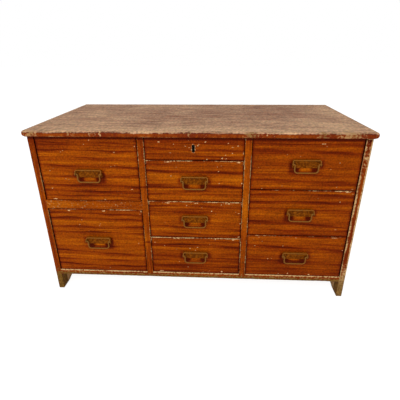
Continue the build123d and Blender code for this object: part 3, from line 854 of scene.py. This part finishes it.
# Shade under the top: a dark line and a faint band, each with its reach
LINE_SHADE, LINE_REACH = 2.2, 4.5
BAND_SHADE, BAND_REACH = 0.2, 16
# Half width and half height of the rim that keys have rubbed round the keyhole
KEYHOLE_RIM = (4.1, 9.1)
# Wear of the top: middle from the left and front to back, radii, strength; brown patches, then pale ones
TOP_FIGURE = (
    (-40, -30, 110, 60, 0.2), (190, 20, 80, 60, 0.28), (90, 60, 60, 50, 0.14), (200, 130, 90, 40, 0.2),
    (-120, 90, 160, 40, 0.1), (0, -165, 340, 22, -0.28), (270, -100, 80, 45, -0.26),
    (-260, -60, 90, 120, -0.1), (330, 60, 25, 110, -0.22), (-160, 120, 60, 30, -0.14),
)
# Pale flecks of the top: middle from the left and front to back, half length, half width
TOP_FLECKS = (
    (236, -76, 7, 4), (305, -98, 9, 5), (262, -108, 6, 5), (322, -62, 6, 5), (330, 52, 5, 8),
    (318, 112, 6, 9), (300, 150, 7, 7), (344, -20, 4, 6), (-215, 122, 7, 6), (-205, 80, 6, 5),
    (-60, 32, 4, 6), (38, -48, 4, 6), (-290, -72, 9, 6), (-256, -80, 6, 4), (190, -146, 5, 9),
    (213, -150, 4, 6), (-150, -163, 12, 5), (-30, -162, 16, 4), (90, -164, 13, 4), (160, -160, 9, 5),
    (300, -160, 18, 6), (-320, -160, 10, 6), (-70, 96, 6, 6), (120, 84, 5, 8),
)
# Bare stretches of the rounded front edge, from the left: middle, half length, bareness and dirt
EDGE_BARE = (
    (112, 20, 0.72, 0.9), (-213, 3.5, 0.6, 0.2), (-203, 3, 0.75, 0.0), (-192, 4, 0.65, 0.1),
    (-180, 3, 0.5, 0.2), (-12, 10, 0.5, 0.6), (305, 32, 0.72, 0.6), (250, 14, 0.65, 0.9),
    (-335, 18, 0.65, 0.6), (20, 7, 0.45, 0.3), (-255, 16, 0.45, 0.5),
)
# Lines scribed across the left partition for its neighbours' runners, above the floor
SCRIBED = (279, 141)
# Stretches of the front edges of the uprights: height above the floor, half height, how much darker and
# how much barer
STRETCHES = {
    "side_left": (
        (335, 20, 0.06, 0), (260, 24, -0.2, 0.15), (210, 13, -0.2, 0.15), (168, 26, -0.12, 0.08),
        (105, 32, -0.03, 0.06),
    ),
    "side_right": ((350, 28, -0.05, 0.2), (245, 36, 0.04, -0.09), (178, 30, 0.08, -0.1), (70, 14, 0, 0.35)),
    "partition_left": (
        (352, 13, 0.12, 0), (230, 13, -0.12, 0), (150, 15, -0.2, 0.06), (128, 14, -0.08, 0),
        (72, 20, 0.08, 0),
    ),
    "partition_right": (
        (355, 16, -0.04, 0.08), (228, 32, -0.2, 0.08), (152, 22, 0.2, 0), (85, 45, 0.22, 0.1),
    ),
}
# How dark and how wide a scribed line is, and how deep the worn front edge of a side is
SCRIBE_DARKNESS, SCRIBE_WIDTH = 0.7, 1.3
EDGE_DEPTH = 1.5
# Heights from which and at which the foot of a side or a partition is bare
SIDE_FOOT = (74, 34)
PARTITION_FOOT = (80, 60)


def spots(across, up, chips):
    """How far each point lies within any of the chips, nearly 1 at their middles and 0 outside."""
    laid = np.zeros(len(across))
    for x, z, half_length, half_height in chips:
        away = np.hypot((across - x) / half_length, (up - z) / half_height)
        laid = np.maximum(laid, np.clip(1.15 - away, 0, 0.84))
    return laid


def blobs(across, along, places):
    """Sum of soft patches, each given by its middle, its two radii and its strength."""
    laid = np.zeros(len(across))
    for x, y, radius_x, radius_y, strength in places:
        laid += strength * np.exp(-(((across - x) / radius_x) ** 2) - ((along - y) / radius_y) ** 2)
    return laid


def near(distance, reach):
    """1 at no distance, falling off softly over the reach."""
    return np.exp(-((distance / reach) ** 2))


def ramp(values, zero, one):
    """How far values are on the way from the one that counts as 0 to the one that counts as 1."""
    return np.clip((values - zero) / (one - zero), 0, 1)


def in_gap(points):
    """1 inside the gaps between the fronts, where shade is painted, and 0 on the faces."""
    return ramp(points[:, 1] - FRONT, GAP_START, GAP_DEPTH)


def painted_shade_under_top(points):
    """Painted shadow close under the overhanging top: a dark line, and a faint band below."""
    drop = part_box("top_board")[0].z / MM - points[:, 2]
    return LINE_SHADE * np.exp(-((drop / LINE_REACH) ** 4)) + BAND_SHADE * near(drop, BAND_REACH)


def keyhole_marks(points):
    """Wood rubbed bare round the keyhole, and shade painted on the walls inside it."""
    hole = next(gap for gap in frame["record"]["physics"]["openings"] if gap["name"] == "keyhole")
    low, high = np.array(hole["box_m"]) / MM
    across = points[:, 0] - (low[0] + high[0]) / 2
    up = points[:, 2] - (low[2] + high[2]) / 2
    away = np.hypot(across / KEYHOLE_RIM[0], up / KEYHOLE_RIM[1])
    inside = (away < 1.4) & (points[:, 1] > FRONT + 0.6)
    return 0.6 * np.clip(2.6 - 1.8 * away, 0, 1) * ~inside, 3.0 * inside


def streak_figure(drawer, across, up, width):
    """Darkness of a front's streaks, which waver, fade in and out, and trail off below."""
    bold, broad = BOLD[drawer]
    turn = 2 * across / width - 1
    figure = np.zeros(len(across))
    for left, middle, right, half, depth in STREAKS[drawer]:
        bow = (left + right) / 2 - middle
        line = middle + (right - left) / 2 * turn + bow * turn ** 2
        line += 0.5 * np.sin(across / 11 + left) + 0.7 * np.sin(across / 27 + right)
        fade = 0.66 + 0.34 * np.sin(across / 23 + 3 * left)
        gap = (up - line) / half
        heart = 1.15 * np.exp(-np.abs(gap / broad) ** 3)
        trail = 0.4 * near(gap, 2.4) * (gap < 0)
        figure += bold * depth * fade * np.maximum(heart, trail)
    return figure


def handle_shadow_and_grime(drawer, points):
    """Painted shadow of the plate and bail round a handle, with some dirt that hands leave, more of it
    towards the middle of the cabinet.
    """
    low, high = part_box(f"{drawer}_handle_plate")
    side = points[:, 0] - (low.x + high.x) / 2 / MM
    if drawer.startswith("centre"):
        side = -np.abs(side)
    elif drawer.startswith("right"):
        side = -side
    return blobs(side, high.z / MM - points[:, 2], HANDLE_SHADOW_AND_GRIME)


def front_marks(drawer, points):
    """Dark streaks, painted shade under the top, along the rim and in the gaps, painted shadow with some
    grime round the handle or painted shade inside the keyhole, chips and spared arrises at each point of one
    drawer front.
    """
    low = points.min(0)
    width, _, height = points.max(0) - low
    across, up = points[:, 0] - low[0], points[:, 2] - low[2]
    rim = np.minimum(np.minimum(across, width - across), np.minimum(up, height - up))
    hollow = in_gap(points)
    # Painted shade under the top, along the rim of the front beside the gaps and inside the gaps, on the
    # front's own tone
    figure = TONE[drawer] + painted_shade_under_top(points) + 0.3 * near(rim, 3) + GAP_PAINTED_SHADE * hollow
    figure += streak_figure(drawer, across, up, width)
    bare = spots(across, up, CHIPS[drawer])
    if drawer in HANDLED:
        figure += handle_shadow_and_grime(drawer, points)
    else:
        rubbed, dark = keyhole_marks(points)
        bare = np.maximum(bare, rubbed)
        # Painted shade on the walls inside the keyhole
        figure += dark
    guard = np.where(up > height - UPPER_STRIP, SPARED[drawer], SPARED_ELSEWHERE)
    return {"figure": figure, "bare": bare * (1 - hollow), "guard": guard + GAP_GUARD * hollow}


def top_marks(points):
    """Brown and pale patches, flecks and the bare stretches of the front edge at each point of the top."""
    x, y = points[:, 0], points[:, 1]
    nose = ramp(y - FRONT, -1, -4)
    bare = spots(x, y, TOP_FLECKS) * (1 - nose)
    grime = np.zeros(len(points))
    for middle, half, bareness, dirt in EDGE_BARE:
        stretch = near(x - middle, half) * nose
        bare = np.maximum(bare, bareness * stretch)
        grime = np.maximum(grime, dirt * stretch)
    return {"figure": blobs(x, y, TOP_FIGURE), "bare": bare, "grime": grime}


def along_height(upright, points):
    """How much darker and how much barer an upright is at each point of its height."""
    darker, barer = np.zeros(len(points)), np.zeros(len(points))
    for height, half, dark, bare in STRETCHES[upright]:
        stretch = near(points[:, 2] - height, half)
        darker += dark * stretch
        barer += bare * stretch
    return darker, barer


def side_marks(node, worn, points):
    """A side whose foot is bare and dirty and whose front edge is worn, the more so the larger worn is, with
    shade painted under the top and in the gap beside the drawers.
    """
    darker, barer = along_height(node, points)
    front_edge = points[:, 1] < FRONT + EDGE_DEPTH
    reach = np.abs(points[:, 0])
    inner = reach < reach.min() + 0.5
    foot = ramp(points[:, 2], *SIDE_FOOT)
    hollow = in_gap(points) * inner * (points[:, 2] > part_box("bottom_board")[0].z / MM)
    bare = np.where(front_edge, worn * 0.24 + barer, 0.0) + foot * (0.3 + 0.5 * (front_edge | inner))
    inner_arris, outer_arris = 0.68 - 1.3 * worn, 0.8 - 4.2 * worn ** 2
    rubbed = np.where(reach < reach.min() + 3, inner_arris, outer_arris)
    guard = np.where(front_edge, rubbed, 0.4)
    grime = np.clip(1 - 0.8 * worn * front_edge + 0.6 * foot, 0, 1)
    figure = 0.12 + 0.2 * worn + darker * front_edge + painted_shade_under_top(points) + GAP_PAINTED_SHADE * hollow
    return {"figure": figure, "bare": bare * (1 - hollow), "grime": grime,
            "guard": guard + GAP_GUARD * hollow}


def partition_marks(node, scribed, tone, worn, points):
    """A partition with lines scribed across its front edge, and its arrises rubbed by this much more, with
    shade painted under the top and in the gaps beside the drawers.
    """
    hollow = in_gap(points)
    darker, barer = along_height(node, points)
    figure = tone + painted_shade_under_top(points) + darker + GAP_PAINTED_SHADE * hollow
    for height in scribed:
        figure += SCRIBE_DARKNESS * near(points[:, 2] - height, SCRIBE_WIDTH)
    foot = ramp(points[:, 2], *PARTITION_FOOT)
    bare = (0.25 * foot + barer) * (1 - hollow)
    return {"figure": figure, "bare": bare, "grime": 0.35 + 0.45 * foot, "guard": GAP_GUARD * hollow - worn}


def bottom_marks(points):
    """The bottom board's front edge, its upper arris rubbed pale and its lower half bare and dirty, with
    shade painted in the gap above it.
    """
    low, high = points.min(0), points.max(0)
    up = (points[:, 2] - low[2]) / (high[2] - low[2])
    lower = ramp(up, 0.62, 0.42)
    arris = ramp(up, 0.8, 0.9)
    hollow = in_gap(points) * (up > 0.5)
    bare = 0.3 + 0.4 * lower + 0.5 * arris
    return {"figure": 0.2 + GAP_PAINTED_SHADE * hollow, "bare": bare * (1 - hollow),
            "grime": 0.7 + 0.3 * lower - 0.7 * arris, "guard": 0.6 - 1.2 * arris + GAP_GUARD * hollow}


def rail_marks(points):
    """The rail, lighter and barer towards its left end, with shade painted in the gaps at its upper and
    lower edges.
    """
    low, high = points.min(0), points.max(0)
    share = (points[:, 0] - low[0]) / (high[0] - low[0])
    left = ramp(share, 0.45, 0)
    hollow = in_gap(points)
    bare = 0.22 + 0.06 * left
    return {"figure": 0.03 - 0.22 * left + GAP_PAINTED_SHADE * hollow, "bare": bare * (1 - hollow),
            "grime": np.full(len(points), 0.4), "guard": 0.6 + GAP_GUARD * hollow}


# Pieces


class CABINET_OT_top(bpy.types.Operator):
    """Top board with its rounded front edge, and the half-round nosings on its ends"""

    bl_idname = "cabinet.top"
    bl_label = "Top"

    def execute(self, context):
        scores = ((not_below, 0, 4), (not_below, 1, 4))
        bm = worn_board("top_board", rounding=0.8, dents=0.4, scores=scores)
        board_piece("top", "top_board", [bm], "top_wood", ["faded_top_wood", "raw_planed_pine"], along=0,
                    inner=lambda face: face.normal.z < -0.9 and face.center.y > (FRONT + 2) * MM,
                    marks=top_marks)
        for side in ("left", "right"):
            node = f"top_nosing_{side}"
            nosing = softened(node, rounding=0.5)
            board_piece(f"{side}_nosing", node, nosing, "carcass_wood", ["faded_top_wood"], along=1)
        return {"FINISHED"}


class CABINET_OT_carcass(bpy.types.Operator):
    """Side boards, partitions, bottom board and the rail between the left drawers"""

    bl_idname = "cabinet.carcass"
    bl_label = "Carcass boards"

    def execute(self, context):
        finishes = ["varnished_carcass_wood", "raw_planed_pine"]
        part_at = (GAP_DEPTH, STAIN_DEPTH)
        side_scores = ((to_front, 2, 3), (to_front, 0, 3), (to_sides, 2, 12))
        post_scores = ((to_front, 2, 2),)
        rail_scores = ((to_front, 2, 2), (to_front, 0, 4))

        def unstained(face):
            return face.center.y > (FRONT + STAIN_DEPTH) * MM

        for side, inward, worn in (("left", 1, 0.35), ("right", -1, 0.9)):
            node = f"side_{side}"
            bm = worn_board(node, rounding=0.6, dents=0.25, scores=side_scores, part_at=part_at)
            board_piece(f"{side}_side", node, [bm], "carcass_wood", finishes, along=2,
                        inner=lambda face: face.normal.x * inward > 0.5 and unstained(face),
                        marks=lambda points: side_marks(node, worn, points))
        for side, scribed, tone, worn in (("left", SCRIBED, 0.1, -0.2), ("right", (), 0.08, 0.05)):
            node = f"partition_{side}"
            bm = worn_board(node, rounding=0.8, dents=0.4, scores=post_scores, part_at=part_at)
            board_piece(f"{side}_partition", node, [bm], "carcass_wood", finishes, along=2, inner=unstained,
                        marks=lambda points: partition_marks(node, scribed, tone, worn, points))
        bm = worn_board("bottom_board", rounding=1.0, dents=0.5, scores=rail_scores, part_at=part_at)
        board_piece("floor_board", "bottom_board", [bm], "carcass_wood", finishes, along=0, inner=unstained,
                    marks=bottom_marks)
        bm = worn_board("left_rail", rounding=0.9, dents=0.4, scores=rail_scores, part_at=part_at)
        board_piece("rail", "left_rail", [bm], "carcass_wood", finishes, along=0, inner=unstained,
                    marks=rail_marks)
        return {"FINISHED"}


class CABINET_OT_inner_boards(bpy.types.Operator):
    """Back boards, drawer runners, drawer stops and glue blocks"""

    bl_idname = "cabinet.inner_boards"
    bl_label = "Inner boards"

    def execute(self, context):
        names = {
            "back_boards": "back", "left_runners": "runners_left", "centre_runners": "runners_centre",
            "right_runners": "runners_right", "drawer_stops": "stops", "glue_blocks": "corner_blocks",
        }
        for node, name in names.items():
            board_piece(name, node, softened(node, rounding=0.7), "drawer_wood", ["raw_planed_pine"])
        return {"FINISHED"}


class CABINET_OT_drawer_fronts(bpy.types.Operator):
    """The nine varnished drawer fronts"""

    bl_idname = "cabinet.drawer_fronts"
    bl_label = "Drawer fronts"

    def execute(self, context):
        finishes = ["varnished_front_wood", "raw_planed_pine"]
        scores = ((to_front, 2, 1.4), (to_front, 0, 2))
        for drawer in DRAWERS:
            node = f"{drawer}_drawer_front"
            bm = worn_board(node, rounding=0.9, dents=0.45, scores=scores, part_at=(GAP_DEPTH,))
            board_piece(f"{drawer}_front", node, [bm], "front_wood", finishes, along=0,
                        inner=lambda face: face.normal.y > 0.3,
                        marks=lambda points: front_marks(drawer, points))
        return {"FINISHED"}


class CABINET_OT_drawer_boxes(bpy.types.Operator):
    """Dovetailed sides and backs of the drawers, and their bottom panels"""

    bl_idname = "cabinet.drawer_boxes"
    bl_label = "Drawer boxes"

    def execute(self, context):
        for drawer in DRAWERS:
            box, bottom = f"{drawer}_drawer_box", f"{drawer}_drawer_bottom"
            pine = "drawer_wood", ["raw_planed_pine"]
            board_piece(f"{drawer}_box", box, softened(box, rounding=0.5), *pine)
            board_piece(f"{drawer}_panel", bottom, solids_of(bottom), *pine, along=0)
        return {"FINISHED"}


class CABINET_OT_handles(bpy.types.Operator):
    """Hooded brass plates with their pins, and the wire bails that swing in them"""

    bl_idname = "cabinet.handles"
    bl_label = "Handles"

    def execute(self, context):
        brass = "aged_brass", "tarnished_pressed_brass"
        # The pins' distances from the plate's middle, before its rear face and below its lip
        apart, out, drop = 19 * MM, 1.5 * MM, 9 * MM
        for drawer in HANDLED:
            plate = f"{drawer}_handle_plate"
            metal_piece(f"{drawer}_plate", plate, *brass, edge=0.3)
            metal_piece(f"{drawer}_bail", f"{drawer}_handle_bail", *brass)
            low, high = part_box(plate)
            middle = (low.x + high.x) / 2
            pins = [Vector((middle + side * apart, high.y - out, high.z - drop)) for side in (-1, 1)]
            domes(f"{drawer}_plate_pins", pins, *brass, f"{drawer}_drawer", facing=Vector((0, -1, 0)),
                  across=4, rise=0.9)
        return {"FINISHED"}


class CABINET_OT_lock(bpy.types.Operator):
    """Lock case and bolt behind the front of the shallow drawer"""

    bl_idname = "cabinet.lock"
    bl_label = "Lock"

    def execute(self, context):
        iron = "lock_iron", "blackened_forged_iron"
        metal_piece("lock_box", "lock_case", *iron, edge=0.2)
        metal_piece("bolt", "lock_bolt", *iron, edge=0.3)
        # The screws' distances from the ends, the lower and the upper edge of the case
        from_end, from_below, from_above = 3.5 * MM, 4.5 * MM, 7 * MM
        low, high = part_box("lock_case")
        heads = [Vector((x, high.y, z)) for x in (low.x + from_end, high.x - from_end)
                 for z in (low.z + from_below, high.z - from_above)]
        domes("lock_screws", heads, *iron, "centre_lock_drawer", facing=Vector((0, 1, 0)),
              across=5, rise=0.7)
        return {"FINISHED"}


class CABINET_OT_nails(bpy.types.Operator):
    """Nails that hold the back boards to the sides and partitions"""

    bl_idname = "cabinet.nails"
    bl_label = "Nails"

    def execute(self, context):
        from_end = 3.5 * MM
        board_count, near_edges = 3, (0.18, 0.82)
        low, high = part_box("back_boards")
        posts = [low.x + from_end, high.x - from_end]
        for side in ("left", "right"):
            post_low, post_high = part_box(f"partition_{side}")
            posts.append((post_low.x + post_high.x) / 2)
        places = []
        for board in range(board_count):
            for share in near_edges:
                height = low.z + (high.z - low.z) * (board + share) / board_count
                places += [Vector((x, high.y, height)) for x in posts]
        iron = "lock_iron", "blackened_forged_iron"
        domes("back_nails", places, *iron, "carcass", facing=Vector((0, 1, 0)), across=4.5, rise=0.6)
        return {"FINISHED"}


class CABINET_OT_stage(bpy.types.Operator):
    """Pale floor, soft light and the camera"""

    bl_idname = "cabinet.stage"
    bl_label = "Stage"

    def execute(self, context):
        look = context.scene.cabinet_stage
        floor_colour = (*look.floor, 1.0)
        bm = bmesh.new()
        bmesh.ops.create_grid(bm, x_segments=1, y_segments=1, size=FLOOR_HALF)
        mesh = bpy.data.meshes.new("floor")
        bm.to_mesh(mesh)
        bm.free()
        floor = bpy.data.objects.new("floor", mesh)
        context.scene.collection.objects.link(floor)
        # Matt white paint that lights the cabinet from below, and shows as white with the cabinet's shadow
        material, tree = blank("pale_matt_floor")
        paint = add(tree, "BsdfDiffuse", {"Color": floor_colour})[0]
        shown = add(tree, "BsdfDiffuse", {"Color": FLOOR_GREY})[0]
        white = add(tree, "Emission", {"Color": floor_colour, "Strength": FLOOR_GLOW})[0]
        lit = add(tree, "AddShader", {0: shown, 1: white})[0]
        surface = add(tree, "MixShader", {0: in_view(tree), 1: paint, 2: lit})[0]
        add(tree, "OutputMaterial", {"Surface": surface})
        mesh.materials.append(material)
        world = bpy.data.worlds.new("even_light")
        context.scene.world = world
        world.use_nodes = True
        tree = world.node_tree
        tree.nodes.clear()
        dim = add(tree, "Background", {"Color": WHITE, "Strength": look.sky})[0]
        white = add(tree, "Background", {"Color": WHITE, "Strength": 1.0})[0]
        sky = add(tree, "MixShader", {0: in_view(tree), 1: dim, 2: white})[0]
        add(tree, "OutputWorld", {"Surface": sky})
        lamp = bpy.data.lights.new("soft_box", "AREA")
        lamp.shape = "RECTANGLE"
        lamp.size, lamp.size_y = LAMP_SIZE
        lamp.energy = look.lamp
        soft_box = bpy.data.objects.new("soft_box", lamp)
        context.scene.collection.objects.link(soft_box)
        soft_box.location = LAMP_PLACE
        aim = LAMP_AIM - soft_box.location
        soft_box.rotation_euler = aim.to_track_quat("-Z", "Y").to_euler()
        lens = bpy.data.cameras.new("camera")
        lens.sensor_width = SENSOR
        lens.lens = look.lens
        lens.clip_start = 10 * MM
        camera = bpy.data.objects.new("camera", lens)
        context.scene.collection.objects.link(camera)
        camera.matrix_world = CAMERA_PLACE
        context.scene.camera = camera
        context.scene.view_settings.view_transform = "Standard"
        return {"FINISHED"}


class CABINET_PT_panel(bpy.types.Panel):
    """Lists the pieces of the cabinet and its finishes"""

    bl_idname = "CABINET_PT_panel"
    bl_label = "Drawer cabinet"
    bl_space_type = "VIEW_3D"
    bl_region_type = "UI"
    bl_category = "Cabinet"

    def draw(self, context):
        for operator in OPERATORS:
            self.layout.operator(operator.bl_idname)
        for name in LOOKS:
            look = getattr(context.scene, name)
            box = self.layout.box()
            for prop in look.bl_rna.properties:
                if not prop.is_readonly and prop.identifier != "name":
                    box.prop(look, prop.identifier)


OPERATORS = (
    CABINET_OT_top, CABINET_OT_carcass, CABINET_OT_inner_boards, CABINET_OT_drawer_fronts,
    CABINET_OT_drawer_boxes, CABINET_OT_handles, CABINET_OT_lock, CABINET_OT_nails, CABINET_OT_stage,
)
LOOKS = {
    "cabinet_fronts": VarnishLook, "cabinet_carcass": VarnishLook, "cabinet_top": TopLook,
    "cabinet_pine": PineLook, "cabinet_brass": BrassLook, "cabinet_stage": StageLook,
}
CLASSES = (VarnishLook, TopLook, PineLook, BrassLook, StageLook, *OPERATORS, CABINET_PT_panel)


def register():
    for cls in CLASSES:
        bpy.utils.register_class(cls)
    for name, look in LOOKS.items():
        setattr(bpy.types.Scene, name, PointerProperty(type=look))


def unregister():
    for name in LOOKS:
        delattr(bpy.types.Scene, name)
    for cls in reversed(CLASSES):
        bpy.utils.unregister_class(cls)


def main():
    register()
    bpy.ops.cabinet.top()
    bpy.ops.cabinet.carcass()
    bpy.ops.cabinet.inner_boards()
    bpy.ops.cabinet.drawer_fronts()
    bpy.ops.cabinet.drawer_boxes()
    bpy.ops.cabinet.handles()
    bpy.ops.cabinet.lock()
    bpy.ops.cabinet.nails()
    bpy.ops.cabinet.stage()


if __name__ == "__main__":
    main()
